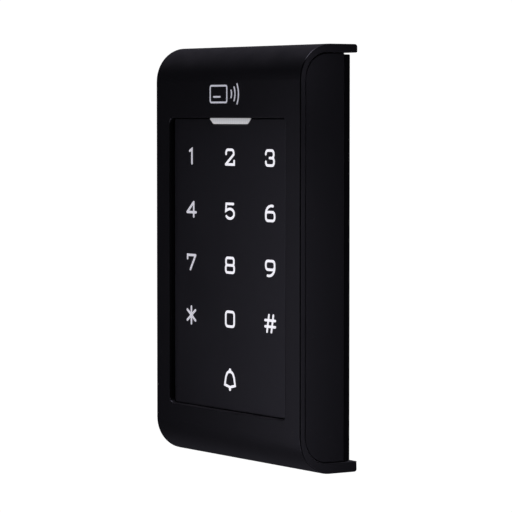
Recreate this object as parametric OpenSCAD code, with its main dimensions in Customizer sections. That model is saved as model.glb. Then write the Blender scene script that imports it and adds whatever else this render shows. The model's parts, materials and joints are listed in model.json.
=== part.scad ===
// Wall-mounted touch-keypad access reader.
// Frame: X to the right, Y into the wall, Z up. The origin is the centre of the wall plate's back face, so the
// wall is the plane y = 0 and the touch surface faces -Y. Millimetres.

/* [Case] */
// Overall width of the front cover
case_w = 76; // [64:1:92]
// Overall height of the front cover
case_h = 120; // [100:1:144]
// Depth from the wall to the front face
case_d = 19.4; // [18.5:0.1:24]
// Radius of the large curves at the top and bottom of the front cover
end_radius = 10; // [8:0.5:12]
// Thickness of the front cover's front wall
cover_front = 1.8; // [1.6:0.05:2]
// Thickness of the front cover's top wall
cover_top = 2.4; // [2:0.1:3]
// Thickness of the front cover's bottom wall, which holds the locking screw's head
cover_bottom = 3; // [2.5:0.1:3.6]
// Rounding of the front cover's outer edges at the wall
wall_edge_round = 0.8; // [0.4:0.1:1.2]
// How far the side walls of the body lie inside the cover's side edges
side_inset = 0.4; // [0.2:0.05:0.8]
// Thickness of the body's walls
shell_wall = 2; // [1.8:0.1:2.5]
// Distance from the wall to the back plate, taken up by the wall bracket
wall_gap = 2.4; // [2.2:0.1:3]
// Thickness of the back plate
back_plate_t = 1.8; // [1.4:0.1:2]

/* [Keypad] */
// From the top of the case to the top of the keypad window
window_top_margin = 20.7; // [18:0.1:24]
// From the bottom of the case to the bottom of the keypad window
window_bottom_margin = 14.9; // [13:0.1:18]
// From the side of the case to the keypad window
window_side_margin = 7.75; // [6:0.25:10]
// Corner radius of the keypad window
window_radius = 1.4; // [0.8:0.1:3]
// How far the touch surface lies behind the front face
panel_recess = 1.5; // [1.2:0.05:1.6]
// Thickness of the touch panel
panel_t = 1.5; // [1.2:0.1:2]
// From the top of the window to the middle of the first row of legends
row_top_margin = 11.2; // [9:0.1:14]
// From the bell legend's middle to the bottom of the window
bell_bottom_margin = 9; // [7:0.1:12]
// How much further the bell lies below the last row than the rows lie apart
bell_extra = 1.95; // [0:0.05:4]
// From the side of the window to the middle of the outer columns
column_margin = 9.45; // [8:0.05:12]
// Height of a digit over its strokes
digit_h = 4.95; // [4:0.05:7]
// Width of a digit over its strokes
digit_w = 5.15; // [3.5:0.05:7]
// Width of a stroke
stroke = 0.72; // [0.5:0.02:1]
// Thickness of the printed ink
ink_t = 0.08; // [0.05:0.01:0.15]

/* [Status light] */
// Width of the light bar along its top edge
light_top_w = 20.9; // [16:0.1:24]
// Width of the light bar along its bottom edge
light_bottom_w = 17.4; // [12:0.1:20]
// Height of the light bar
light_h = 1.7; // [1.4:0.1:2.4]
// How far the light bar stands in front of the touch surface
light_proud = 0.15; // [0:0.05:0.4]

/* [Boards] */
// Thickness of the main board
main_board_t = 1.6; // [1:0.1:2]
// Thickness of the touch board
touch_board_t = 1; // [0.8:0.1:1.6]
// Free space for parts between the main board and the back plate
part_space = 5.7; // [5.6:0.1:7]
// Free edge between the boards and the body's walls
board_edge_gap = 2.6; // [2:0.1:4]
// Free strip above and below the main board for the bosses and the hook pockets
board_end_gap = 12.2; // [12:0.1:14]
// Thickness of the antenna winding
coil_t = 2; // [1:0.1:2.2]
// Width of the antenna winding's band
coil_band = 3; // [2:0.1:5]

/* [Wall bracket] */
// Thickness of the bracket's sheet metal
bracket_t = 1.2; // [1:0.1:1.5]
// From the side of the case to the side of the bracket
bracket_side_margin = 7; // [5:0.5:9]
// From the side of the case to the wall screw holes
wall_hole_side_margin = 16; // [13:0.5:20]
// From the ends of the case to the wall screw holes
wall_hole_end_margin = 20; // [17:0.5:24]
// Diameter of the wall screw holes and width of the slots
wall_hole_d = 4.2; // [3.5:0.1:5]
// Distance between the two slots, which fit a flush wall box
box_slot_spacing = 60; // [58:0.5:62]
// End-to-end length of the slots
box_slot_l = 8; // [6:0.5:10]
// Width of the cable hole
cable_hole_w = 34; // [30:1:40]
// Height of the cable hole
cable_hole_h = 24; // [18:1:28]
// Width of each hook
hook_w = 7; // [5:0.5:9]
// Distance of each hook from the middle
hook_x = 24; // [20:0.5:26]

/* [Fasteners] */
// Radius of the self-tapping screws' shanks
tapping_r = 1.25; // [1:0.05:1.4]
// Radius of the board screws' shanks
board_screw_r = 1; // [0.8:0.05:1.2]
// Radius of the locking screw's shank
lock_r = 1.5; // [1.25:0.05:1.8]
// How far the locking screw is from the wall
lock_setback = 7.2; // [6.8:0.1:8]
// Travel of the tamper plunger
tamper_travel = 1; // [0.6:0.1:1.1]
// Radius of the tamper plunger
tamper_r = 2; // [1.9:0.1:2.4]

/* [Clearances] */
// Gap between the cover and the body
cover_gap = 0.2; // [0.1:0.05:0.3]
// Gap around the touch panel in its window
panel_gap = 0.15; // [0.1:0.05:0.3]
// Gap around the light bar in the touch panel
light_gap = 0.25; // [0.1:0.05:0.4]
// Radial gap around a screw in the hole that holds it
thread_gap = 0.05; // [0.02:0.01:0.1]
// Radial gap around a screw or boss that passes through freely
pass_gap = 0.2; // [0.1:0.05:0.3]
// Gap between the back plate and the cover's top wall
back_plate_top_gap = 0.5; // [0.3:0.1:0.8]
// Radial gap around the tamper plunger
plunger_gap = 0.1; // [0.05:0.01:0.2]

/* [Hidden] */
$fn = 48;
cut = 0.5;                                   // how far a cutting shape runs past the face it opens
half_w = case_w / 2;
half_h = case_h / 2;

// Levels along Y, from the front face to the wall
face_y = -case_d;
cover_in_y = face_y + cover_front;
panel_y = face_y + panel_recess;
panel_back_y = panel_y + panel_t;
shell_y = cover_in_y + cover_gap;
panel_seat_t = 1;                            // thickness of the ledge that the panel is bonded to
floor_y = panel_back_y + panel_seat_t;
back_plate_y = -wall_gap - back_plate_t;
main_back_y = back_plate_y - part_space;
main_y = main_back_y - main_board_t;
bracket_y = -bracket_t;

// The cover's inside and the body that fills it
cover_in_top = half_h - cover_top;
cover_in_bottom = -half_h + cover_bottom;
cover_in_radius = end_radius - cover_top;
shell_half_w = half_w - side_inset;
shell_fit = 0.15;                            // gap between the body and the cover's top and bottom walls
shell_top = cover_in_top - shell_fit;
shell_bottom = cover_in_bottom + shell_fit;
shell_radius = cover_in_radius - shell_fit;
cavity_half_w = shell_half_w - shell_wall;
cavity_top = shell_top - shell_wall;
cavity_bottom = shell_bottom + shell_wall;
cavity_radius = shell_radius - shell_wall;

// The keypad window and the layout of the legends
window_half_w = half_w - window_side_margin;
window_top = half_h - window_top_margin;
window_bottom = -half_h + window_bottom_margin;
column_pitch = window_half_w - column_margin;
first_row_z = window_top - row_top_margin;
bell_z = window_bottom + bell_bottom_margin;
row_pitch = (first_row_z - bell_z - bell_extra) / 4;
ledge = 3.1;                                 // width of the ledge that the panel is bonded to
touch_half_w = window_half_w - ledge - pass_gap;
touch_top = window_top - ledge - pass_gap;
touch_bottom = window_bottom + ledge + pass_gap;
pad_t = 0.1;
touch_y = panel_back_y + pad_t;
touch_back_y = touch_y + touch_board_t;
pad_r = 5.2;
led_hole_r = 1.1;
led_l = 3.2;
led_w = 1.6;
led_t = 0.9;

// The keys: their place in the grid and their legend
KEYS = [
    [-1, 0, "1"], [0, 0, "2"], [1, 0, "3"],
    [-1, 1, "4"], [0, 1, "5"], [1, 1, "6"],
    [-1, 2, "7"], [0, 2, "8"], [1, 2, "9"],
    [-1, 3, "star"], [0, 3, "0"], [1, 3, "hash"],
];
function key_place(key) = [key[0] * column_pitch, first_row_z - key[1] * row_pitch];
PADS = [for (key = KEYS) key_place(key), [0, bell_z]];

// The main board and what stands on it
board_half_w = cavity_half_w - board_edge_gap;
board_top = cavity_top - board_end_gap;
board_bottom = cavity_bottom + board_end_gap - 0.6;
standoff_r = 2.5;
standoff_inset = 2.8;
STANDOFFS = [for (x = [-1, 1], z = [board_bottom + standoff_inset, board_top - standoff_inset])
    [x * (board_half_w - standoff_inset), z]];
header_w = 26;
header_h = 6;
header_wall = 0.8;
header_floor = 1;
header_back_y = -wall_gap - 0.5;
header_pitch = 2.5;
header_pins = 10;
header_pin = 0.64;
header_pin_back_y = header_back_y - 1.8;
inlet_margin = 1.5;                          // width of the rubber frame around the wire header
link_z = first_row_z - 2.5 * row_pitch;      // between the third and the fourth row of keys
link_pitch = 2.54;
link_pins = 8;
link_w = 2.5;
link_pin = 0.64;
sounder_r = 6;
sounder_t = 5.2;
SOUNDER = [-board_half_w + 10, board_top - 12];
PROCESSOR = [0, board_top - 14];
processor_size = 10;
processor_t = 1.4;
lead_pitch = 0.8;
leads_a_side = 11;
RADIO = [board_half_w - 10, board_top - 10];
CRYSTAL = [board_half_w - 10, board_top - 18];
RELAY = [-board_half_w + 11.5, board_bottom + 12.5];
INDUCTOR = [-board_half_w + 7, 0];
CAPACITORS = [[board_half_w - 7, 4.2], [board_half_w - 7, -4.2]];
REGULATOR = [4, board_bottom + 14];
TAMPER = [board_half_w - 8, board_bottom + 14];

// Bosses that join the cover, the body and the back plate
boss_r = 2.5;
boss_end_y = floor_y + 2.2;
sleeve_wall = 1.3;
sleeve_floor = 1.2;
COVER_BOSSES = [for (x = [-1, 1]) each [[x * 12, half_h - 11.5], [x * 20, -half_h + 10]]];
back_boss_r = 3;
BACK_BOSSES = [for (x = [-1, 1]) each [[x * (half_w - 6), half_h - 9], [x * (half_w - 6), -half_h + 9.5]]];
back_plate_radius = 0.4;
back_plate_top = cover_in_top - back_plate_top_gap;
back_plate_bottom = shell_bottom;
gasket_w = 1;
gasket_t = 0.8;

// The hooks at the top of the bracket and the pockets they enter
hook_z = half_h - 8.2;                       // top of the horizontal part of a hook
hook_lip_y = back_plate_y - 1.8;             // back of the hook's lip, clear of the back plate as it swings
hook_lip_h = 1.8;
hook_side_gap = 0.6;
slot_below = 3.2;                            // height of the slot in the back plate
slot_top = hook_z + 0.3;
pocket_wall = 1.2;
pocket_top = hook_z + 2.8;
pocket_bottom = slot_top - slot_below - 0.3;
pocket_front_y = hook_lip_y - bracket_t - 1.5;

// The fork at the bottom of the bracket, the locking screw and its pocket
fork_half_w = 6;
fork_t = 1.5;
fork_lift = 0.8;                             // gap between the fork and the cover's bottom wall
fork_bottom = cover_in_bottom + fork_lift;
fork_top = fork_bottom + fork_t;
lock_y = -lock_setback;
fork_tip_y = lock_y - 3.2;
lock_pocket_half_w = 8;
lock_pocket_top = -half_h + 13;
lock_pocket_y = fork_tip_y - 1.6;
lock_boss_r = 3.5;
lock_boss_bottom = fork_top + 0.3;
insert_r = 2.2;
insert_l = 4;
lock_tip_z = lock_boss_bottom + insert_l + 1.1;
lock_head_r = 2.85;
lock_sink = 0.15;                            // how far the screw's head lies inside the cover's surface

// The bracket's plate
bracket_half_w = half_w - bracket_side_margin;
bracket_bottom = -half_h + 8;
bracket_radius = 3;
wall_hole_r = wall_hole_d / 2;
WALL_HOLES = [for (x = [-1, 1], z = [-1, 1]) [x * (half_w - wall_hole_side_margin), z * (half_h - wall_hole_end_margin)]];

// The tamper switch: its spring stands in the plunger's hollow, at the length it has when the plunger is pressed
tamper_tip_y = bracket_y - 0.3;
flange_y = back_plate_y - 0.7;               // back of the plunger's flange
flange_t = 0.7;
flange_r = tamper_r + 0.6;
switch_back_y = flange_y - flange_t - tamper_travel - 0.4;
switch_floor_y = main_back_y + 0.4;
switch_size = 7;
plunger_front_y = switch_floor_y + tamper_travel + 0.3;
plunger_hollow_r = tamper_r - 0.5;
plunger_hollow_y = -4.8;
spring_wire = 0.25;
spring_r = plunger_hollow_r - 0.3 - spring_wire / 2;
spring_end_y = plunger_hollow_y - tamper_travel - 0.3;
spring_turns = 4;

// ---- Shared shapes ----

// Extrudes a shape drawn in X and Z along Y, between two levels
module along_y(from_y, to_y)
    translate([0, to_y, 0]) rotate([90, 0, 0]) linear_extrude(to_y - from_y) children();

// Extrudes a shape drawn in Y and Z along X, to both sides of the middle
module along_x(half_length)
    translate([-half_length, 0, 0]) rotate([90, 0, 90]) linear_extrude(2 * half_length) children();

// A round rod along Y at a place in X and Z
module rod_y(place, r, from_y, to_y)
    translate([place[0], to_y, place[1]]) rotate([90, 0, 0]) cylinder(r = r, h = to_y - from_y);

// A cone along Y with one radius at from_y and one at to_y
module cone_y(place, r_from, r_to, from_y, to_y)
    translate([place[0], to_y, place[1]]) rotate([90, 0, 0]) cylinder(r1 = r_to, r2 = r_from, h = to_y - from_y);

// A block given by its limits in X, Y and Z
module block(x, y, z)
    translate([x[0], y[0], z[0]]) cube([x[1] - x[0], y[1] - y[0], z[1] - z[0]]);

// A block standing on a board at a place in X and Z
module chip(place, w, h, from_y, to_y)
    block([place[0] - w / 2, place[0] + w / 2], [from_y, to_y], [place[1] - h / 2, place[1] + h / 2]);

// A rectangle with rounded corners, one radius at its low side and one at its high side
module rounded(x, z, r_low, r_high) {
    translate([x[0] + r_low, z[0]]) square([x[1] - x[0] - r_low - r_high, z[1] - z[0]]);
    translate([x[0], z[0] + r_low]) square([r_low, z[1] - z[0] - 2 * r_low]);
    translate([x[1] - r_high, z[0] + r_high]) square([r_high, z[1] - z[0] - 2 * r_high]);
    for (corner_z = [0, 1]) {
        translate([x[0] + r_low, corner_z ? z[1] - r_low : z[0] + r_low]) circle(r_low);
        translate([x[1] - r_high, corner_z ? z[1] - r_high : z[0] + r_high]) circle(r_high);
    }
}

module rounded_even(half_x, z, r) rounded([-half_x, half_x], z, r, r);

// A pan-head screw along Y whose head lies behind seat_y and whose shank runs to tip_y
module pan_screw(place, shank_r, head_r, head_t, seat_y, tip_y)
    difference() {
        union() {
            rod_y(place, shank_r, tip_y, seat_y + head_t / 2);
            rod_y(place, head_r, seat_y, seat_y + head_t);
        }
        cross_recess(place, head_r, seat_y + head_t / 2, seat_y + head_t + cut);
    }

// The cross-shaped drive of a screw that is turned from behind
module cross_recess(place, head_r, from_y, to_y) {
    chip(place, 1.2 * head_r, 0.32 * head_r, from_y, to_y);
    chip(place, 0.32 * head_r, 1.2 * head_r, from_y, to_y);
}

// ---- Strokes for the legends, drawn in X and Z ----

function unit(v) = v / norm(v);
function left_of(v) = [-v[1], v[0]];
function bend(c, r, from_a, to_a, steps = 5) =
    [for (i = [0:steps]) let (a = from_a + (to_a - from_a) * i / steps) c + [r[0] * cos(a), r[1] * sin(a)]];

// The mitred normal of a path at its point i, scaled so that the stroke keeps its width
function mitre(path, i, closed) =
    let (n = len(path),
         a = closed || i > 0 ? unit(path[i] - path[(i + n - 1) % n]) : unit(path[1] - path[0]),
         b = closed || i < n - 1 ? unit(path[(i + 1) % n] - path[i]) : a,
         m = left_of(a) + left_of(b))
    m * 2 / (m * m);
function shifted(path, d, closed) = [for (i = [0:len(path) - 1]) path[i] + mitre(path, i, closed) * d];
function reversed(path) = [for (i = [len(path) - 1:-1:0]) path[i]];

// Half a turn around a path's end, clockwise, where the path arrives in the direction d
function round_end(end, d, w) =
    let (from_a = atan2(d[1], d[0]) + 90)
    [for (i = [1:5]) end + w / 2 * [cos(from_a - 30 * i), sin(from_a - 30 * i)]];

// A line of the stroke's width along a path, with round ends
module line_along(path, w = stroke) {
    last = len(path) - 1;
    polygon(concat(
        shifted(path, w / 2, false),
        round_end(path[last], path[last] - path[last - 1], w),
        reversed(shifted(path, -w / 2, false)),
        round_end(path[0], path[0] - path[1], w)));
}

// A line of the stroke's width around a closed path that runs anticlockwise
module line_around(path, w = stroke)
    difference() {
        polygon(shifted(path, -w / 2, true));
        polygon(shifted(path, w / 2, true));
    }

// The middle line of a rounded box, anticlockwise
function box_path(x, z, r) = concat(
    bend([x[1] - r, z[0] + r], [r, r], -90, 0),
    bend([x[1] - r, z[1] - r], [r, r], 0, 90),
    bend([x[0] + r, z[1] - r], [r, r], 90, 180),
    bend([x[0] + r, z[0] + r], [r, r], 180, 270));

// Half the width and half the height of a digit's middle line
a = (digit_w - stroke) / 2;
b = (digit_h - stroke) / 2;
corner = 0.2 * digit_h;

module digit_0() line_around(box_path([-a, a], [-b, b], corner));

module digit_1() line_along([[-0.36 * a, 0.74 * b], [0.18 * a, b], [0.18 * a, -b]]);

module digit_2() {
    line_along(concat([[-0.9 * a, 0.42 * b]],
        bend([-0.9 * a + corner, b - corner], [corner, corner], 180, 90),
        bend([0.9 * a - corner, b - corner], [corner, corner], 90, 0),
        [[0.9 * a, 0.36 * b], [-a, -b]]));
    line_along([[-a, -b], [a, -b], [a, -0.52 * b]]);
}

module digit_3() {
    line_along(concat([[-a, 0.5 * b]],
        bend([-a + corner, b - corner], [corner, corner], 180, 90),
        bend([0.8 * a - corner, b - corner], [corner, corner], 90, 0),
        bend([0.8 * a - corner, corner], [corner, corner], 0, -90),
        [[-0.15 * a, 0]]));
    line_along(concat([[-0.15 * a, 0]],
        bend([0.87 * a - corner, -corner], [corner, corner], 90, 0),
        bend([0.87 * a - corner, corner - b], [corner, corner], 0, -90),
        bend([corner - a, corner - b], [corner, corner], -90, -180),
        [[-a, -0.5 * b]]));
}

module digit_4() {
    line_along([[0.6 * a, -b], [0.6 * a, b]]);
    line_along([[0.6 * a, b], [-a, -0.4 * b]]);
    line_along([[-a, -0.4 * b], [1.17 * a, -0.4 * b]]);
}

module digit_5()
    line_along(concat([[0.82 * a, b], [-0.86 * a, b], [-0.95 * a, 0.04 * b]],
        bend([0, -0.34 * b], [a, 0.66 * b], 122, -148, 12)));

module digit_6() {
    line_around(box_path([-a, a], [-b, 0.16 * b], corner));
    line_along(concat([[-a, -0.4 * b]], bend([0.3 * a, -0.1 * b], [1.3 * a, 1.1 * b], 180, 76, 8)));
}

module digit_7() {
    line_along([[-0.92 * a, 0.5 * b], [-0.92 * a, b], [1.05 * a, b]]);
    line_along([[1.05 * a, b], [-0.22 * a, -b]]);
}

module digit_8() {
    line_around(box_path([-0.93 * a, 0.93 * a], [0, b], 0.8 * corner));
    line_around(box_path([-a, a], [-b, 0], 0.8 * corner));
}

module digit_9() rotate(180) digit_6();

module legend_star() {
    line_along([[0, -1.18 * b], [0, 1.18 * b]]);
    for (side = [-1, 1]) line_along([[-side * a, -0.72 * b], [side * a, 0.72 * b]]);
}

module legend_hash() {
    for (z = [-0.42, 0.42] * b) line_along([[-1.15 * a, z], [1.15 * a, z]]);
    for (x = [-0.5, 0.5] * a) line_along([[x - 0.22 * a, -1.12 * b], [x + 0.22 * a, 1.12 * b]]);
}

module legend_bell() {
    right = concat([[1.22 * a, -0.74 * b], [0.98 * a, 0.3 * b]], bend([0, 0.38 * b], [0.86 * a, 0.74 * b], 20, 72, 5));
    line_around(concat([[0, -1.02 * b]], right, [for (p = reversed(right)) [-p[0], p[1]]]));
    for (knob = [[0, 1.3 * b], [0, -1.28 * b]]) translate(knob) circle(0.72 * stroke, $fn = 20);
}

module legend(name) {
    if (name == "0") digit_0();
    if (name == "1") digit_1();
    if (name == "2") digit_2();
    if (name == "3") digit_3();
    if (name == "4") digit_4();
    if (name == "5") digit_5();
    if (name == "6") digit_6();
    if (name == "7") digit_7();
    if (name == "8") digit_8();
    if (name == "9") digit_9();
    if (name == "star") legend_star();
    if (name == "hash") legend_hash();
}

// ---- The front: cover, touch panel, legends and light bar ----

// The cover's side view: a band that wraps over the front, the top and the bottom
module cover_section()
    difference() {
        rounded([face_y, 0], [-half_h, half_h], end_radius, wall_edge_round);
        rounded([cover_in_y, end_radius], [cover_in_bottom, cover_in_top], cover_in_radius, wall_edge_round);
    }

module window_outline(grow)
    rounded_even(window_half_w + grow, [window_bottom - grow, window_top + grow], window_radius + grow);

module front_cover() {
    color("#141416") difference() {
        union() {
            along_x(half_w) cover_section();
            for (place = COVER_BOSSES) rod_y(place, boss_r, face_y + 1, boss_end_y);
        }
        along_y(face_y - cut, cover_in_y + cut) window_outline(0);
        for (place = COVER_BOSSES) rod_y(place, tapping_r + thread_gap, cover_in_y + 0.3, boss_end_y + cut);
        lock_screw_hole();
    }
}

// The hole and countersink for the locking screw in the bottom wall
module lock_screw_hole()
    translate([0, lock_y, -half_h]) {
        translate([0, 0, -cut]) cylinder(r = lock_r + pass_gap, h = cover_bottom + 2 * cut);
        translate([0, 0, -lock_sink])
            cylinder(r1 = lock_head_r + 0.45, r2 = lock_r + pass_gap, h = lock_head_r - lock_r + 0.45);
    }

// The light bar's outline, widest along the top of the window
module light_outline(grow) {
    top = window_top + grow;
    bottom = window_top - light_h - grow;
    half_top = light_top_w / 2 + grow;
    half_bottom = light_bottom_w / 2 + grow;
    polygon([[-half_top, top], [-half_top, top - 0.25 * light_h], [-half_bottom - 0.2, bottom + 0.1],
        [-half_bottom + 0.3, bottom], [half_bottom - 0.3, bottom], [half_bottom + 0.2, bottom + 0.1],
        [half_top, top - 0.25 * light_h], [half_top, top]]);
}

module touch_panel()
    color("#1c1b20") along_y(panel_y, panel_back_y)
        difference() {
            window_outline(-panel_gap);
            light_outline(light_gap);
        }

module printed_legends()
    color("white") {
        for (key = KEYS) {
            place = key_place(key);
            along_y(panel_y - ink_t, panel_y) translate(place) legend(key[2]);
        }
        along_y(panel_y - ink_t, panel_y) translate([0, bell_z]) legend_bell();
    }

// A plain card with radio waves beside it, printed where the card is held
module card_symbol() {
    symbol_z = half_h - 13.8;
    card_half_w = 4.4;
    card_half_h = 2.4;
    line = 0.5;
    color("#c8ccd2") along_y(face_y - ink_t, face_y) translate([-3.7, symbol_z]) {
        line_around(box_path([-card_half_w, card_half_w], [-card_half_h, card_half_h], 0.6), line);
        line_along([[-2.6, -0.8], [0.8, -0.8]], line);
        for (r = [2, 3.8, 5.6])
            translate([card_half_w + 0.5, 0]) line_along(bend([0, 0], [r, r], -30, 30, 8), line);
    }
}

module status_light_bar() {
    flange_half_w = light_top_w / 2 + 1.2;
    pipe_half_w = light_bottom_w / 2;
    color("#b8b8bb") {
        along_y(panel_y - light_proud, floor_y) light_outline(0);
        block([-flange_half_w, flange_half_w], [floor_y, floor_y + 0.8],
            [window_top - light_h - 1, window_top + 1]);
        block([-pipe_half_w, pipe_half_w], [floor_y + 0.8, main_y - led_t - 0.3],
            [window_top - light_h, window_top]);
    }
}

// ---- The body that holds the boards ----

module body_shell()
    color("#121214") difference() {
        along_x(shell_half_w)
            rounded([shell_y, back_plate_y + end_radius], [shell_bottom, shell_top], shell_radius, 0.1);
        block([-case_w, case_w], [back_plate_y, case_d], [-case_h, case_h]);
        difference() {
            along_x(cavity_half_w)
                rounded([floor_y, back_plate_y + end_radius], [cavity_bottom, cavity_top], cavity_radius, 0.1);
            body_features();
        }
        along_y(shell_y - cut, panel_back_y) window_outline(0);
        block([-touch_half_w - pass_gap, touch_half_w + pass_gap], [panel_back_y - cut, floor_y + cut],
            [touch_bottom - pass_gap, touch_top + pass_gap]);
        along_y(panel_back_y - cut, floor_y + cut) light_outline(0.1);
        for (place = COVER_BOSSES) {
            rod_y(place, boss_r + pass_gap, shell_y - cut, boss_end_y);
            rod_y(place, tapping_r + pass_gap, shell_y, boss_end_y + sleeve_floor + cut);
        }
        for (place = BACK_BOSSES) rod_y(place, tapping_r + thread_gap, back_plate_y - 8, back_plate_y + cut);
        for (place = STANDOFFS) rod_y(place, board_screw_r + thread_gap, floor_y + 0.4, main_y + cut);
        for (side = [-1, 1]) hook_pocket(side);
        lock_pocket();
        gasket_ring(back_plate_y - gasket_t, back_plate_y + cut);
    }

// What stands inside the body's cavity: sleeves, standoffs, bosses and the walls of the pockets
module body_features() {
    for (place = COVER_BOSSES) rod_y(place, boss_r + pass_gap + sleeve_wall, shell_y, boss_end_y + sleeve_floor);
    for (place = BACK_BOSSES) rod_y(place, back_boss_r, shell_y, back_plate_y + cut);
    for (place = STANDOFFS) rod_y(place, standoff_r, shell_y, main_y);
    for (side = [-1, 1])
        block([side * hook_x - hook_w / 2 - hook_side_gap - pocket_wall,
               side * hook_x + hook_w / 2 + hook_side_gap + pocket_wall],
            [pocket_front_y - pocket_wall, back_plate_y + cut],
            [pocket_bottom - pocket_wall, cavity_top + cut]);
    block([-lock_pocket_half_w - pocket_wall, lock_pocket_half_w + pocket_wall],
        [lock_pocket_y - pocket_wall, back_plate_y + cut], [cavity_bottom - cut, lock_pocket_top + pocket_wall]);
}

module hook_pocket(side)
    block([side * hook_x - hook_w / 2 - hook_side_gap, side * hook_x + hook_w / 2 + hook_side_gap],
        [pocket_front_y, back_plate_y + cut], [pocket_bottom, pocket_top]);

// The pocket that the bracket's fork enters, with the boss that holds the threaded insert
module lock_pocket() {
    difference() {
        block([-lock_pocket_half_w, lock_pocket_half_w], [lock_pocket_y, back_plate_y + cut],
            [shell_bottom - cut, lock_pocket_top]);
        translate([0, lock_y, lock_boss_bottom]) cylinder(r = lock_boss_r, h = lock_pocket_top - lock_boss_bottom);
    }
    translate([0, lock_y, lock_boss_bottom - cut]) cylinder(r = insert_r, h = insert_l + cut);
    translate([0, lock_y, lock_boss_bottom]) cylinder(r = lock_r + pass_gap, h = lock_tip_z + 0.6 - lock_boss_bottom);
}

module gasket_ring(from_y, to_y) {
    inset = (shell_wall - gasket_w) / 2;
    along_y(from_y, to_y) difference() {
        rounded_even(shell_half_w - inset, [shell_bottom + inset, shell_top - inset], 2);
        rounded_even(shell_half_w - inset - gasket_w,
            [shell_bottom + inset + gasket_w, shell_top - inset - gasket_w], 1);
        translate([-lock_pocket_half_w - 0.6, shell_bottom])
            square([2 * lock_pocket_half_w + 1.2, inset + gasket_w + cut]);
    }
}

module back_gasket() color("#2a2a2c") gasket_ring(back_plate_y - gasket_t, back_plate_y);

module back_plate()
    color("#161618") difference() {
        along_y(back_plate_y, -wall_gap) difference() {
            rounded_even(shell_half_w, [back_plate_bottom, back_plate_top], back_plate_radius);
            translate([-lock_pocket_half_w, back_plate_bottom - cut])
                square([2 * lock_pocket_half_w, lock_pocket_top - back_plate_bottom + cut]);
            inlet_outline();
            for (side = [-1, 1])
                translate([side * hook_x - hook_w / 2 - hook_side_gap, slot_top - slot_below])
                    square([hook_w + 2 * hook_side_gap, slot_below]);
        }
        rod_y(TAMPER, tamper_r + plunger_gap, back_plate_y - cut, cut);
        for (place = BACK_BOSSES) {
            rod_y(place, tapping_r + pass_gap, back_plate_y - cut, cut);
            cone_y(place, tapping_r + pass_gap, tapping_r + pass_gap + back_plate_t, back_plate_y, -wall_gap);
        }
    }

module inlet_outline() rounded_even(header_w / 2 + inlet_margin, [-1, 1] * (header_h / 2 + inlet_margin), 1);

module inlet_seal()
    color("#303032") along_y(back_plate_y, -wall_gap) difference() {
        inlet_outline();
        translate([-header_w / 2, -header_h / 2]) square([header_w, header_h]);
    }

// ---- Screws ----

module back_plate_screws()
    color("silver") for (place = BACK_BOSSES)
        difference() {
            union() {
                rod_y(place, tapping_r, back_plate_y - 6.8, back_plate_y + 0.3);
                cone_y(place, tapping_r, tapping_r + back_plate_t - 0.1, back_plate_y + 0.1, -wall_gap - 0.1);
            }
            cross_recess(place, tapping_r + 1, -wall_gap - 0.7, 0);
        }

module cover_screws()
    color("silver") for (place = COVER_BOSSES)
        pan_screw(place, tapping_r, 2.2, 1.5, boss_end_y + sleeve_floor, cover_in_y + 0.6);

module board_screws()
    color("silver") for (place = STANDOFFS) pan_screw(place, board_screw_r, 1.9, 1.2, main_back_y, floor_y + 1);

// ---- The touch board, bonded to the back of the touch panel ----

module touch_board()
    color("#20402c") difference() {
        block([-touch_half_w, touch_half_w], [touch_y, touch_back_y], [touch_bottom, touch_top]);
        for (place = PADS) rod_y(place, led_hole_r, touch_y - cut, touch_back_y + cut);
    }

module touch_pads()
    color("#c98a4a") for (place = PADS)
        difference() {
            rod_y(place, pad_r, panel_back_y, touch_y);
            rod_y(place, led_hole_r + 0.4, panel_back_y - cut, touch_y + cut);
        }

module key_lights() color("#f2efe0") for (place = PADS) chip(place, led_l, led_w, touch_back_y, touch_back_y + led_t);

module touch_chip()
    color("#1a1a1a") chip([column_pitch / 2, first_row_z - row_pitch / 2], 5, 5, touch_back_y, touch_back_y + 0.9);

module board_link_header() {
    half_l = link_pins * link_pitch / 2;
    color("#101010") difference() {
        block([-half_l, half_l], [touch_back_y, main_y], [link_z - link_w / 2, link_z + link_w / 2]);
        link_pin_holes();
    }
}

module link_pin_row(size, from_y, to_y)
    for (i = [0:link_pins - 1]) chip([(i - (link_pins - 1) / 2) * link_pitch, link_z], size, size, from_y, to_y);

module link_pin_holes() link_pin_row(link_pin, touch_back_y - cut, main_y + cut);

module board_link_pins() color("gold") link_pin_row(link_pin, touch_back_y, main_y);

// ---- The main board and its parts ----

module main_board()
    color("#1d4a30") difference() {
        along_y(main_y, main_back_y) rounded_even(board_half_w, [board_bottom, board_top], 1.5);
        for (place = STANDOFFS) rod_y(place, board_screw_r + pass_gap, main_y - cut, main_back_y + cut);
    }

module status_lights()
    color("#f4f1e4") for (x = [-6, 0, 6])
        chip([x, window_top - light_h / 2], 3.5, 2.2, main_y - led_t, main_y);

module antenna_coil() {
    coil_half_w = board_half_w - 4;
    coil_z = [board_bottom + 12, board_top - 12];
    color("#a8541e") along_y(main_y - coil_t, main_y) difference() {
        rounded_even(coil_half_w, coil_z, 6);
        rounded_even(coil_half_w - coil_band, coil_z + [coil_band, -coil_band], 6 - coil_band + 1);
    }
}

module processor_chip()
    color("#151515") chip(PROCESSOR, processor_size, processor_size, main_back_y, main_back_y + processor_t);

module processor_leads() {
    lead_l = 1;
    lead_w = 0.35;
    lead_t = 0.2;
    reach = processor_size / 2 + lead_l / 2;
    color("silver") for (side = [-1, 1], i = [0:leads_a_side - 1]) {
        along = (i - (leads_a_side - 1) / 2) * lead_pitch;
        chip(PROCESSOR + [side * reach, along], lead_l, lead_w, main_back_y, main_back_y + lead_t);
        chip(PROCESSOR + [along, side * reach], lead_w, lead_l, main_back_y, main_back_y + lead_t);
    }
}

module radio_chip() color("#171717") chip(RADIO, 9.9, 4, main_back_y, main_back_y + 1.7);

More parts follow.
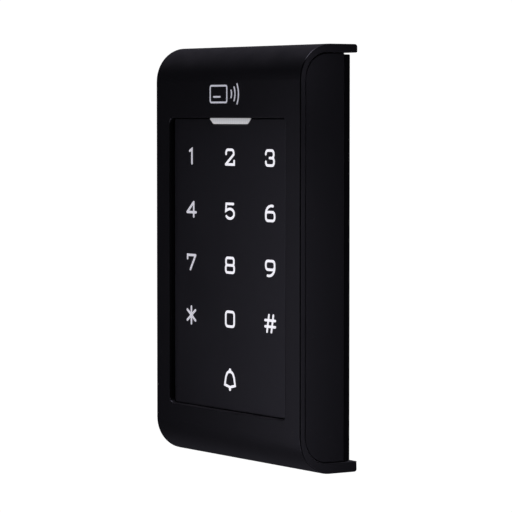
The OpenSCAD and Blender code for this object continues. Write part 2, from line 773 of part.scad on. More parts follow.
module clock_crystal()
    color("#c9c9c4") along_y(main_back_y, main_back_y + 3.5) translate(CRYSTAL) rounded_even(5.5, [-2.2, 2.2], 2.1);

module sounder()
    color("#111111") difference() {
        rod_y(SOUNDER, sounder_r, main_back_y, main_back_y + sounder_t);
        rod_y(SOUNDER, 1, main_back_y + sounder_t - 1.5, main_back_y + sounder_t + cut);
    }

module door_relay() color("#e8e6dc") chip(RELAY, 15, 7.6, main_back_y, main_back_y + 5.2);

module voltage_regulator()
    color("#1b1b1b") {
        chip(REGULATOR, 6.6, 6, main_back_y, main_back_y + 2.3);
        chip(REGULATOR + [0, 3.7], 5.2, 1.4, main_back_y, main_back_y + 0.6);
    }

module power_inductor()
    color("#3a3a3d") difference() {
        along_y(main_back_y, main_back_y + 3.2) translate(INDUCTOR) rounded_even(3.6, [-3.6, 3.6], 1);
        rod_y(INDUCTOR, 2.6, main_back_y + 2.8, main_back_y + 3.2 + cut);
    }

module smoothing_capacitors()
    color("#b9bcc2") for (place = CAPACITORS) {
        rod_y(place, 3.15, main_back_y + 0.6, main_back_y + 5.3);
        chip(place, 6.6, 6.6, main_back_y, main_back_y + 0.6);
    }

module wire_header()
    color("#ece9dd") difference() {
        chip([0, 0], header_w, header_h, main_back_y, header_back_y);
        chip([0, 0], header_w - 2 * header_wall, header_h - 2 * header_wall, main_back_y + header_floor,
            header_back_y + cut);
    }

module wire_header_pins()
    color("gold") for (i = [0:header_pins - 1])
        chip([(i - (header_pins - 1) / 2) * header_pitch, 0], header_pin, header_pin, main_back_y + header_floor,
            header_pin_back_y);

// ---- The tamper switch, whose plunger rests on the wall bracket ----

module tamper_switch()
    color("#222224") difference() {
        chip(TAMPER, switch_size, switch_size, main_back_y, switch_back_y);
        rod_y(TAMPER, tamper_r + plunger_gap, switch_floor_y, switch_back_y + cut);
    }

module tamper_plunger()
    color("#d8d4c8") difference() {
        union() {
            rod_y(TAMPER, tamper_r, plunger_front_y, tamper_tip_y);
            rod_y(TAMPER, flange_r, flange_y - flange_t, flange_y);
        }
        rod_y(TAMPER, plunger_hollow_r, plunger_front_y - cut, plunger_hollow_y);
    }

// A point on the return spring's wire: step i along the coil, corner j around the wire
function wire_point(i, j, steps) =
    let (t = i / steps,
         turn = 360 * spring_turns * t,
         r = spring_r + spring_wire / 2 * cos(60 * j),
         rise = (spring_end_y - switch_floor_y - spring_wire) * t,
         y = switch_floor_y + spring_wire / 2 + rise + spring_wire / 2 * sin(60 * j))
    [TAMPER[0] + r * cos(turn), y, TAMPER[1] + r * sin(turn)];

module tamper_spring() {
    steps = 16 * spring_turns;
    points = [for (i = [0:steps], j = [0:5]) wire_point(i, j, steps)];
    walls = [for (i = [0:steps - 1], j = [0:5])
        [6 * i + j, 6 * i + (j + 1) % 6, 6 * (i + 1) + (j + 1) % 6, 6 * (i + 1) + j]];
    color("silver") polyhedron(points,
        concat([[5, 4, 3, 2, 1, 0]], walls, [[for (j = [0:5]) 6 * steps + j]]));
}

// ---- The wall bracket and the locking screw ----

// A hook's side view: out from the plate, then up behind the back plate
module hook_section() {
    lip_front_y = hook_lip_y - bracket_t;
    round = bracket_t;
    translate([lip_front_y + round, hook_z - bracket_t]) square([bracket_y - lip_front_y - round + 0.2, bracket_t]);
    translate([lip_front_y, hook_z - bracket_t + round]) square([bracket_t, hook_lip_h + bracket_t - round]);
    intersection() {
        translate([lip_front_y + round, hook_z - bracket_t + round]) circle(round);
        translate([lip_front_y, hook_z - bracket_t]) square(round);
    }
}

module wall_bracket() {
    slot_straight = box_slot_l / 2 - wall_hole_r;
    color("#b9bdc1") {
        difference() {
            union() {
                along_y(bracket_y, 0) {
                    rounded_even(bracket_half_w, [bracket_bottom, hook_z], bracket_radius);
                    translate([-fork_half_w, fork_bottom]) square([2 * fork_half_w, bracket_bottom - fork_bottom + 1]);
                }
                block([-fork_half_w, fork_half_w], [fork_tip_y, bracket_y + 0.2], [fork_bottom, fork_top]);
                for (side = [-1, 1]) translate([side * hook_x, 0, 0]) along_x(hook_w / 2) hook_section();
            }
            for (place = WALL_HOLES) rod_y(place, wall_hole_r, bracket_y - cut, cut);
            for (side = [-1, 1], end = [-1, 1])
                rod_y([0, side * box_slot_spacing / 2 + end * slot_straight], wall_hole_r, bracket_y - cut, cut);
            for (side = [-1, 1])
                block([-wall_hole_r, wall_hole_r], [bracket_y - cut, cut],
                    [side * box_slot_spacing / 2 - slot_straight, side * box_slot_spacing / 2 + slot_straight]);
            along_y(bracket_y - cut, cut) rounded_even(cable_hole_w / 2, [-1, 1] * cable_hole_h / 2, 4);
            translate([0, lock_y, fork_bottom - cut]) cylinder(r = lock_r + pass_gap, h = fork_t + 2 * cut);
            block([-lock_r - pass_gap, lock_r + pass_gap], [fork_tip_y - cut, lock_y],
                [fork_bottom - cut, fork_top + cut]);
        }
    }
}

module lock_insert()
    color("#c9a24b") translate([0, lock_y, lock_boss_bottom]) difference() {
        cylinder(r = insert_r, h = insert_l);
        translate([0, 0, -cut]) cylinder(r = lock_r + thread_gap, h = insert_l + 2 * cut);
    }

module locking_screw() {
    head_z = -half_h + lock_sink;
    head_h = lock_head_r - lock_r;
    color("silver") translate([0, lock_y, 0]) difference() {
        union() {
            translate([0, 0, head_z + head_h / 2]) cylinder(r = lock_r, h = lock_tip_z - head_z - head_h / 2);
            translate([0, 0, head_z]) cylinder(r1 = lock_head_r, r2 = lock_r, h = head_h);
        }
        translate([0, 0, head_z - cut]) cylinder(r = 1.15, h = 0.9 + cut, $fn = 6);
    }
}

front_cover();
touch_panel();
printed_legends();
card_symbol();
status_light_bar();
body_shell();
back_plate();
back_gasket();
back_plate_screws();
cover_screws();
board_screws();
touch_board();
touch_pads();
key_lights();
touch_chip();
board_link_header();
board_link_pins();
main_board();
status_lights();
antenna_coil();
processor_chip();
processor_leads();
radio_chip();
clock_crystal();
sounder();
door_relay();
voltage_regulator();
power_inductor();
smoothing_capacitors();
wire_header();
wire_header_pins();
inlet_seal();
tamper_switch();
tamper_plunger();
tamper_spring();
wall_bracket();
lock_insert();
locking_screw();
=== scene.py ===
import json
import math

import bmesh
import bpy
from mathutils import Matrix, Vector


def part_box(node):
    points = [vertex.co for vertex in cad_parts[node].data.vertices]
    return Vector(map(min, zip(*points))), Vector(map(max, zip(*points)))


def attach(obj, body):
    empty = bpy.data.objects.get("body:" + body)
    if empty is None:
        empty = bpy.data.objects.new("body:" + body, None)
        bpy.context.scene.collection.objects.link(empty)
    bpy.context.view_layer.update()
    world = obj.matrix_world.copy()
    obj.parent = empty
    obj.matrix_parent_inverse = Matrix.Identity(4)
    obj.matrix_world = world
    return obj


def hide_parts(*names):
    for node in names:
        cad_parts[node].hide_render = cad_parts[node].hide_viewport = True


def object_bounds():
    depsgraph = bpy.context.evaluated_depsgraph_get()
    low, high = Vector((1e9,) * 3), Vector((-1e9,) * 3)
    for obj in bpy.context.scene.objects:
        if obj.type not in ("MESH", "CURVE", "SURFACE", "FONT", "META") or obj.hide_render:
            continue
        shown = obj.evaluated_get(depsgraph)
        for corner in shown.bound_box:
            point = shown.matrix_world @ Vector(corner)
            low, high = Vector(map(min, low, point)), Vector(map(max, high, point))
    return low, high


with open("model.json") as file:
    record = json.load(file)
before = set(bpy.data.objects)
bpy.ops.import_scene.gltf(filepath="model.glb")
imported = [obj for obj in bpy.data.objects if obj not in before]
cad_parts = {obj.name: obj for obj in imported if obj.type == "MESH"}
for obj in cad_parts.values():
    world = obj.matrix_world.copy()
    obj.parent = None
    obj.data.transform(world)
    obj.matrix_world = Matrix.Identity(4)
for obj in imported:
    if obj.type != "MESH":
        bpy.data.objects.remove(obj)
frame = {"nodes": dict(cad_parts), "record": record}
cad_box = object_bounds()
NODES = frame["nodes"]
MM = 0.001


# ---------------------------------------------------------------- node trees

def add_node(tree, kind, settings=None, **inputs):
    """One shader node with its settings. A node's output given as an input is linked, a value is set."""
    node = tree.nodes.new("ShaderNode" + kind)
    for name, value in (settings or {}).items():
        setattr(node, name, value)
    for name, value in inputs.items():
        socket = find_socket(node.inputs, name)
        if isinstance(value, bpy.types.NodeSocket):
            tree.links.new(value, socket)
        else:
            socket.default_value = value
    return node


def find_socket(sockets, name):
    """A socket by its name with underscores for spaces, or by its number as in i0."""
    if name[0] == "i" and name[1:].isdigit():
        return sockets[int(name[1:])]
    return sockets[name.replace("_", " ")]


def maths(tree, operation, a, b=0.0, clamp=False):
    return add_node(tree, "Math", {"operation": operation, "use_clamp": clamp}, i0=a, i1=b).outputs[0]


def remap(tree, value, from_low, from_high, to_low, to_high):
    node = add_node(tree, "MapRange", {"clamp": True}, Value=value)
    limits = {"From Min": from_low, "From Max": from_high, "To Min": to_low, "To Max": to_high}
    for name, number in limits.items():
        if isinstance(number, bpy.types.NodeSocket):
            tree.links.new(number, node.inputs[name])
        else:
            node.inputs[name].default_value = number
    return node.outputs[0]


def mix_colour(tree, share, a, b, blend="MIX"):
    node = add_node(tree, "Mix", {"data_type": "RGBA", "blend_type": blend})
    for socket, value in ((node.inputs[0], share), (node.inputs[6], a), (node.inputs[7], b)):
        if isinstance(value, bpy.types.NodeSocket):
            tree.links.new(value, socket)
        else:
            socket.default_value = value
    return node.outputs[2]


def new_group(name, inputs, outputs):
    """A shader node group with its sockets: inputs are (name, kind, value), outputs are (name, kind)."""
    tree = bpy.data.node_groups.new(name, "ShaderNodeTree")
    for socket, kind, value in inputs:
        made = tree.interface.new_socket(name=socket, in_out="INPUT", socket_type="NodeSocket" + kind)
        made.default_value = value
    for socket, kind in outputs:
        tree.interface.new_socket(name=socket, in_out="OUTPUT", socket_type="NodeSocket" + kind)
    return tree, tree.nodes.new("NodeGroupInput"), tree.nodes.new("NodeGroupOutput")


def place_group(tree, group, **inputs):
    node = tree.nodes.new("ShaderNodeGroup")
    node.node_tree = group
    for name, value in inputs.items():
        socket = node.inputs[name.replace("_", " ")]
        if isinstance(value, bpy.types.NodeSocket):
            tree.links.new(value, socket)
        else:
            socket.default_value = value
    return node


def new_material(name, **sockets):
    """A material with one Principled BSDF, whose plain values are set on its own sockets."""
    material = bpy.data.materials.new(name)
    material.use_nodes = True
    tree = material.node_tree
    shader = tree.nodes["Principled BSDF"]
    for socket, value in sockets.items():
        shader.inputs[socket.replace("_", " ")].default_value = value
    return material, tree, shader


def raise_surface(tree, shader, height, depth_mm):
    """Lets a height stand out of the surface by a depth in millimetres."""
    bump = add_node(tree, "Bump", Height=height, Distance=depth_mm * MM)
    tree.links.new(bump.outputs[0], shader.inputs["Normal"])


# ---------------------------------------------------------------- effects that several materials share

def build_moulded_grain():
    """The fine spark-eroded texture of moulded plastic: a height, and the small change of gloss with it."""
    tree, given, result = new_group(
        "moulded grain",
        [("Grain mm", "Float", 0.16), ("Flow", "Float", 0.5)],
        [("Height", "Float"), ("Gloss change", "Float")])
    place = add_node(tree, "TexCoord").outputs["Object"]
    scale = maths(tree, "DIVIDE", 1000.0, given.outputs["Grain mm"])
    pits = add_node(tree, "TexNoise", Vector=place, Scale=scale, Detail=2.0, Roughness=0.6)
    waves = add_node(tree, "TexNoise", Vector=place, Scale=90.0, Detail=3.0, Roughness=0.5)
    drift = maths(tree, "MULTIPLY", maths(tree, "SUBTRACT", waves.outputs["Fac"], 0.5), given.outputs["Flow"])
    tree.links.new(maths(tree, "ADD", pits.outputs["Fac"], drift), result.inputs["Height"])
    tree.links.new(drift, result.inputs["Gloss change"])
    return tree


def build_edge_wear():
    """A mask of the rubbed edges: where a rounded normal leaves the true one, broken up by noise."""
    tree, given, result = new_group(
        "edge wear", [("Width mm", "Float", 0.35), ("Amount", "Float", 0.5)], [("Mask", "Float")])
    radius = maths(tree, "MULTIPLY", given.outputs["Width mm"], MM)
    rounded = add_node(tree, "Bevel", {"samples": 6}, Radius=radius).outputs[0]
    true = add_node(tree, "NewGeometry").outputs["Normal"]
    same = add_node(tree, "VectorMath", {"operation": "DOT_PRODUCT"}, i0=rounded, i1=true).outputs["Value"]
    edge = remap(tree, same, 0.995, 0.86, 0.0, 1.0)
    place = add_node(tree, "TexCoord").outputs["Object"]
    patches = add_node(tree, "TexNoise", Vector=place, Scale=260.0, Detail=5.0, Roughness=0.65).outputs["Fac"]
    broken = remap(tree, patches, 0.42, 0.7, 0.15, 1.0)
    mask = maths(tree, "MULTIPLY", maths(tree, "MULTIPLY", edge, broken), given.outputs["Amount"], clamp=True)
    tree.links.new(mask, result.inputs["Mask"])
    return tree


def build_dust():
    """A mask of fine specks everywhere and a thin film on what faces up."""
    tree, given, result = new_group(
        "dust", [("Specks", "Float", 0.3), ("Film", "Float", 0.3)], [("Mask", "Float")])
    place = add_node(tree, "TexCoord").outputs["Object"]
    cells = add_node(tree, "TexVoronoi", Vector=place, Scale=620.0, Randomness=1.0).outputs["Distance"]
    chosen = add_node(tree, "TexNoise", Vector=place, Scale=330.0, Detail=1.0).outputs["Fac"]
    grains = remap(tree, cells, 0.16, 0.05, 0.0, 1.0)
    speck = maths(tree, "MULTIPLY", grains, remap(tree, chosen, 0.6, 0.68, 0.0, 1.0))
    up = add_node(tree, "SeparateXYZ", Vector=add_node(tree, "NewGeometry").outputs["Normal"]).outputs["Z"]
    cloud = add_node(tree, "TexNoise", Vector=place, Scale=140.0, Detail=6.0, Roughness=0.7).outputs["Fac"]
    shelf = remap(tree, up, 0.3, 1.0, 0.0, 1.0)
    film = maths(tree, "MULTIPLY", shelf, remap(tree, cloud, 0.35, 0.75, 0.2, 1.0))
    both = maths(tree, "ADD", maths(tree, "MULTIPLY", speck, given.outputs["Specks"]),
                 maths(tree, "MULTIPLY", film, given.outputs["Film"]), clamp=True)
    tree.links.new(both, result.inputs["Mask"])
    return tree


def build_fine_scratches():
    """A mask of hairline marks that run in many directions, as a cloth leaves them."""
    tree, given, result = new_group(
        "fine scratches", [("Amount", "Float", 0.3)], [("Mask", "Float")])
    place = add_node(tree, "TexCoord").outputs["Object"]
    total = None
    for turn, stretch in ((0.3, (14, 1, 1)), (1.4, (1, 1, 14)), (2.3, (12, 1, 2))):
        mapping = add_node(tree, "Mapping", Vector=place)
        mapping.inputs["Rotation"].default_value = (0, turn, 0)
        mapping.inputs["Scale"].default_value = stretch
        noise = add_node(tree, "TexNoise", Vector=mapping.outputs[0], Scale=120.0, Detail=3.0, Roughness=0.6)
        off_middle = maths(tree, "ABSOLUTE", maths(tree, "SUBTRACT", noise.outputs["Fac"], 0.5))
        line = remap(tree, off_middle, 0.004, 0.0, 0.0, 1.0)
        total = line if total is None else maths(tree, "MAXIMUM", total, line)
    gaps = add_node(tree, "TexNoise", Vector=place, Scale=60.0, Detail=2.0).outputs["Fac"]
    kept = maths(tree, "MULTIPLY", total, remap(tree, gaps, 0.5, 0.62, 0.0, 1.0))
    tree.links.new(maths(tree, "MULTIPLY", kept, given.outputs["Amount"]), result.inputs["Mask"])
    return tree


GRAIN = build_moulded_grain()
WEAR = build_edge_wear()
DUST = build_dust()
SCRATCHES = build_fine_scratches()


# ---------------------------------------------------------------- materials

DUST_COLOUR = (0.35, 0.34, 0.32, 1)
DUST_COVER = 0.35              # how much of the dust's colour a full film shows


def finish_surface(tree, shader, base, worn, roughness, grain_mm=0.16, grain_depth=0.004, flow=0.3,
                   wear=0.3, wear_mm=0.35, specks=0.2, film=0.3, scratches=0.0):
    """Colour, roughness and bump of a moulded, painted or rolled surface with wear, dust and hairlines."""
    grain = place_group(tree, GRAIN, Grain_mm=grain_mm, Flow=flow)
    edges = place_group(tree, WEAR, Width_mm=wear_mm, Amount=wear)
    dust = place_group(tree, DUST, Specks=specks, Film=film)
    marks = place_group(tree, SCRATCHES, Amount=scratches)
    colour = mix_colour(tree, edges.outputs["Mask"], base, worn)
    colour = mix_colour(tree, maths(tree, "MULTIPLY", dust.outputs["Mask"], DUST_COVER), colour, DUST_COLOUR)
    tree.links.new(colour, shader.inputs["Base Color"])
    rough = maths(tree, "ADD", roughness, maths(tree, "MULTIPLY", grain.outputs["Gloss change"], 0.25))
    rough = maths(tree, "SUBTRACT", rough, maths(tree, "MULTIPLY", edges.outputs["Mask"], 0.08))
    rough = maths(tree, "ADD", rough, maths(tree, "MULTIPLY", dust.outputs["Mask"], 0.25), clamp=True)
    rough = maths(tree, "ADD", rough, maths(tree, "MULTIPLY", marks.outputs["Mask"], 0.25), clamp=True)
    tree.links.new(rough, shader.inputs["Roughness"])
    cut = maths(tree, "MULTIPLY", marks.outputs["Mask"], 0.6)
    height = maths(tree, "SUBTRACT", grain.outputs["Height"], cut)
    raise_surface(tree, shader, height, grain_depth)


def tinted(tree, colour, change, scale, share=1.0):
    """A colour that drifts between itself and a second one over the surface."""
    place = add_node(tree, "TexCoord").outputs["Object"]
    noise = add_node(tree, "TexNoise", Vector=place, Scale=scale, Detail=4.0, Roughness=0.6).outputs["Fac"]
    return mix_colour(tree, remap(tree, noise, 0.35, 0.65, 0.0, share), colour, change)


def burnished_corners(tree, roughness, drop):
    """A roughness that falls on the upright rounded front corners, which hands polish."""
    facing = add_node(tree, "SeparateXYZ", Vector=add_node(tree, "NewGeometry").outputs["Normal"])
    sideways = maths(tree, "ABSOLUTE", facing.outputs["X"])
    forward = maths(tree, "MULTIPLY", facing.outputs["Y"], -1.0)
    off_front = remap(tree, sideways, 0.05, 0.18, 0.0, 1.0)
    off_side = remap(tree, forward, 0.3, 0.6, 0.0, drop)
    return maths(tree, "SUBTRACT", roughness, maths(tree, "MULTIPLY", off_front, off_side))


def satin_black(name, base, roughness, grain_mm, grain_depth, specular=0.5, wear=0.07, burnish=0.0):
    material, tree, shader = new_material(name, Specular_IOR_Level=specular)
    colour = tinted(tree, base, tuple(0.8 * c for c in base[:3]) + (1,), 45.0)
    if burnish:
        roughness = burnished_corners(tree, roughness, burnish)
    finish_surface(tree, shader, colour, (0.06, 0.06, 0.065, 1), roughness, grain_mm, grain_depth, wear=wear)
    return material


def panel_acrylic():
    """Smoked acrylic, printed black behind: a deep, slightly blue black under a smooth coat."""
    material, tree, shader = new_material("panel_acrylic", Specular_IOR_Level=0.62)
    colour = tinted(tree, (0.0024, 0.0024, 0.0036, 1), (0.0019, 0.0019, 0.003, 1), 30.0)
    finish_surface(tree, shader, colour, (0.03, 0.03, 0.035, 1), 0.5, grain_mm=0.5, grain_depth=0.0006,
                   flow=0.5, wear=0.1, wear_mm=0.2, specks=0.25, film=0.1, scratches=0.35)
    return material


KEY_PAINTED_GLOW = 0.8                # painted glow of the key print, which stands in for the light that falls on it
LEFT_KEY_PAINTED_GLOW = 0.42          # the painted glow is weaker over the left column, as painted shade
SYMBOL_PAINTED_GLOW = 0.32            # painted glow of the symbol's ink, which stands in for the light that falls on it


def legend_ink():
    """Screen-printed white, thinner at the edges of each stroke, with a painted glow that stands in for the
    light falling on it and is painted weaker over the left column, as shade.
    """
    material, tree, shader = new_material("legend_ink", Emission_Strength=1.0)
    place = add_node(tree, "TexCoord").outputs["Object"]
    pores = add_node(tree, "TexNoise", Vector=place, Scale=4200.0, Detail=3.0, Roughness=0.7).outputs["Fac"]
    cover = remap(tree, pores, 0.3, 0.6, 0.82, 1.0)
    white = mix_colour(tree, cover, (0.4, 0.4, 0.42, 1), (0.93, 0.93, 0.95, 1))
    tree.links.new(white, shader.inputs["Base Color"])
    # Painted light: the print glows in its own white, and the glow is painted weaker towards the left column,
    # as painted shade.
    across = add_node(tree, "SeparateXYZ", Vector=place).outputs["X"]
    low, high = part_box("printed_legends")
    share = remap(tree, across, low.x + 0.2 * (high.x - low.x), 0.0, LEFT_KEY_PAINTED_GLOW, KEY_PAINTED_GLOW)
    glow = mix_colour(tree, share, (0, 0, 0, 1), white)
    tree.links.new(glow, shader.inputs["Emission Color"])
    tree.links.new(remap(tree, pores, 0.3, 0.7, 0.42, 0.58), shader.inputs["Roughness"])
    raise_surface(tree, shader, pores, 0.004)
    return material


def symbol_ink():
    """Pad-printed white with the fine mottle of the pad, and a painted glow that stands in for the light
    falling on it.
    """
    material, tree, shader = new_material("symbol_ink", Emission_Strength=SYMBOL_PAINTED_GLOW)
    place = add_node(tree, "TexCoord").outputs["Object"]
    mottle = add_node(tree, "TexNoise", Vector=place, Scale=2600.0, Detail=4.0, Roughness=0.7).outputs["Fac"]
    cover = remap(tree, mottle, 0.35, 0.65, 0.0, 1.0)
    white = mix_colour(tree, cover, (0.8, 0.82, 0.86, 1), (0.9, 0.92, 0.96, 1))
    tree.links.new(white, shader.inputs["Base Color"])
    # Painted light: the ink glows in its own white.
    tree.links.new(white, shader.inputs["Emission Color"])
    tree.links.new(remap(tree, mottle, 0.3, 0.7, 0.4, 0.55), shader.inputs["Roughness"])
    raise_surface(tree, shader, mottle, 0.004)
    return material


def light_diffuser():
    """Milky light pipe: paler along its lower edge, with the faint prisms that spread the light."""
    material, tree, shader = new_material(
        "light_diffuser", Subsurface_Weight=0.25, Subsurface_Scale=0.6 * MM, IOR=1.49, Emission_Strength=0.95)
    place = add_node(tree, "TexCoord").outputs["Object"]
    low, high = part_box("status_light_bar")
    height = add_node(tree, "SeparateXYZ", Vector=place).outputs["Z"]
    upward = remap(tree, height, high.z - 2.4 * MM, high.z - 1.0 * MM, 1.0, 0.0)
    grey = mix_colour(tree, upward, (0.36, 0.36, 0.37, 1), (0.5, 0.5, 0.51, 1))
    prisms = add_node(tree, "TexWave", {"bands_direction": "X"}, Vector=place, Scale=320.0, Distortion=0.4)
    furrow = remap(tree, prisms.outputs["Fac"], 0.0, 1.0, 0.0, 0.12)
    ribs = mix_colour(tree, furrow, grey, (0.2, 0.2, 0.21, 1))
    tree.links.new(ribs, shader.inputs["Base Color"])
    behind = add_node(tree, "SeparateXYZ", Vector=place).outputs["Y"]
    at_front = remap(tree, behind, low.y + 0.3 * MM, low.y + 0.6 * MM, 1.0, 0.0)
    tree.links.new(mix_colour(tree, at_front, (0, 0, 0, 1), ribs), shader.inputs["Emission Color"])
    tree.links.new(remap(tree, prisms.outputs["Fac"], 0.0, 1.0, 0.3, 0.42), shader.inputs["Roughness"])
    raise_surface(tree, shader, prisms.outputs["Fac"], 0.008)
    return material


def seal_rubber():
    material, tree, shader = new_material("seal_rubber", Specular_IOR_Level=0.3)
    colour = tinted(tree, (0.022, 0.022, 0.023, 1), (0.036, 0.036, 0.036, 1), 120.0)
    finish_surface(tree, shader, colour, (0.08, 0.08, 0.08, 1), 0.75, grain_mm=0.3, grain_depth=0.01,
                   wear=0.3, specks=0.5, film=0.6)
    return material


def circuit_board():
    """Green solder mask over copper: tracks run in short straight steps and show as a lighter green."""
    material, tree, shader = new_material("circuit_board", Coat_Weight=0.35, Coat_Roughness=0.18)
    place = add_node(tree, "TexCoord").outputs["Object"]
    turned = add_node(tree, "Mapping", Vector=place)
    turned.inputs["Rotation"].default_value = (math.radians(90), 0, 0)
    cells = add_node(tree, "TexVoronoi", {"distance": "MANHATTAN", "feature": "F1"}, Vector=turned.outputs[0],
                     Scale=190.0, Randomness=0.75).outputs["Distance"]
    steps = maths(tree, "PINGPONG", maths(tree, "MULTIPLY", cells, 5.0), 0.5)
    track = remap(tree, steps, 0.2, 0.24, 0.0, 1.0)
    vias = add_node(tree, "TexVoronoi", Vector=place, Scale=210.0, Randomness=0.9).outputs["Distance"]
    via = remap(tree, vias, 0.11, 0.08, 0.0, 1.0)
    mask = tinted(tree, (0.006, 0.055, 0.02, 1), (0.009, 0.075, 0.03, 1), 60.0)
    colour = mix_colour(tree, track, mask, (0.022, 0.15, 0.055, 1))
    colour = mix_colour(tree, via, colour, (0.55, 0.5, 0.35, 1))
    tree.links.new(colour, shader.inputs["Base Color"])
    tree.links.new(remap(tree, via, 0.0, 1.0, 0.42, 0.3), shader.inputs["Roughness"])
    tree.links.new(maths(tree, "MULTIPLY", via, 0.9), shader.inputs["Metallic"])
    height = maths(tree, "ADD", track, via)
    raise_surface(tree, shader, height, 0.02)
    return material


def plain_metal(name, light, dark, roughness, scale, grain_mm=0.3, grain_depth=0.002, wear=0.2):
    material, tree, shader = new_material(name, Metallic=1.0)
    colour = tinted(tree, light, dark, scale)
    finish_surface(tree, shader, colour, tuple(min(1, 1.25 * c) for c in light[:3]) + (1,), roughness,
                   grain_mm, grain_depth, wear=wear, specks=0.1, film=0.2, scratches=0.4)
    return material


def galvanised_sheet():
    """Zinc-coated sheet steel: crystals that differ in brightness, and faint rolling lines."""
    material, tree, shader = new_material("bracket_steel", Metallic=1.0)
    place = add_node(tree, "TexCoord").outputs["Object"]
    bent = add_node(tree, "TexNoise", Vector=place, Scale=160.0, Detail=2.0).outputs["Color"]
    moved = mix_colour(tree, 0.012, place, bent, "ADD")
    crystals = add_node(tree, "TexVoronoi", Vector=moved, Scale=170.0, Randomness=1.0)
    share = add_node(tree, "SeparateXYZ", Vector=crystals.outputs["Color"]).outputs["X"]
    zinc = mix_colour(tree, share, (0.33, 0.35, 0.37, 1), (0.56, 0.58, 0.6, 1))
    lines = add_node(tree, "Mapping", Vector=place)
    lines.inputs["Scale"].default_value = (40, 40, 1.2)
    rolled = add_node(tree, "TexNoise", Vector=lines.outputs[0], Scale=60.0, Detail=3.0).outputs["Fac"]
    edges = place_group(tree, WEAR, Width_mm=0.3, Amount=0.6)
    dust = place_group(tree, DUST, Specks=0.3, Film=0.3)
    zinc = mix_colour(tree, edges.outputs["Mask"], zinc, (0.72, 0.73, 0.74, 1))
    tree.links.new(zinc, shader.inputs["Base Color"])
    dull = maths(tree, "MULTIPLY", dust.outputs["Mask"], 0.3)
    rough = maths(tree, "ADD", remap(tree, share, 0.0, 1.0, 0.5, 0.3), dull)
    tree.links.new(rough, shader.inputs["Roughness"])
    height = maths(tree, "ADD", rolled, maths(tree, "MULTIPLY", share, 0.4))
    raise_surface(tree, shader, height, 0.006)
    return material


def moulded_part(name, base, worn, roughness, **more):
    material, tree, shader = new_material(name)
    colour = tinted(tree, base, tuple(0.85 * c for c in base[:3]) + (1,), 90.0)
    finish_surface(tree, shader, colour, worn, roughness, **more)
    return material


def lamp_resin():
    """Light-emitting diode: a yellow phosphor window in a white case."""
    material, tree, shader = new_material("lamp_resin", Coat_Weight=0.6, Coat_Roughness=0.08)
    place = add_node(tree, "TexCoord").outputs["Generated"]
    grain = add_node(tree, "TexNoise", Vector=place, Scale=300.0, Detail=4.0).outputs["Fac"]
    thick = remap(tree, grain, 0.35, 0.65, 0.0, 1.0)
    colour = mix_colour(tree, thick, (0.78, 0.7, 0.28, 1), (0.86, 0.84, 0.66, 1))
    tree.links.new(colour, shader.inputs["Base Color"])
    tree.links.new(remap(tree, grain, 0.3, 0.7, 0.25, 0.4), shader.inputs["Roughness"])
    return material


def enamelled_winding():
    """Enamelled copper wire laid side by side: fine ridges that follow the coil, with the colour painted darker
    in the grooves between them, as shade.
    """
    material, tree, shader = new_material(
        "enamelled_wire", Metallic=1.0, Coat_Weight=0.8, Coat_Roughness=0.12)
    place = add_node(tree, "TexCoord").outputs["Object"]
    turns = None
    for axis in ("X", "Z"):
        bands = add_node(tree, "TexWave", {"bands_direction": axis}, Vector=place, Scale=800.0, Distortion=0.3)
        wave = bands.outputs["Fac"]
        turns = wave if turns is None else maths(tree, "MAXIMUM", turns, wave)
    # Painted shade: the copper is darker in the grooves between the ridges and lighter on their tops.
    colour = mix_colour(tree, turns, (0.2, 0.07, 0.02, 1), (0.62, 0.28, 0.1, 1))
    tree.links.new(colour, shader.inputs["Base Color"])
    tree.links.new(remap(tree, turns, 0.0, 1.0, 0.5, 0.25), shader.inputs["Roughness"])
    raise_surface(tree, shader, turns, 0.05)
    return material


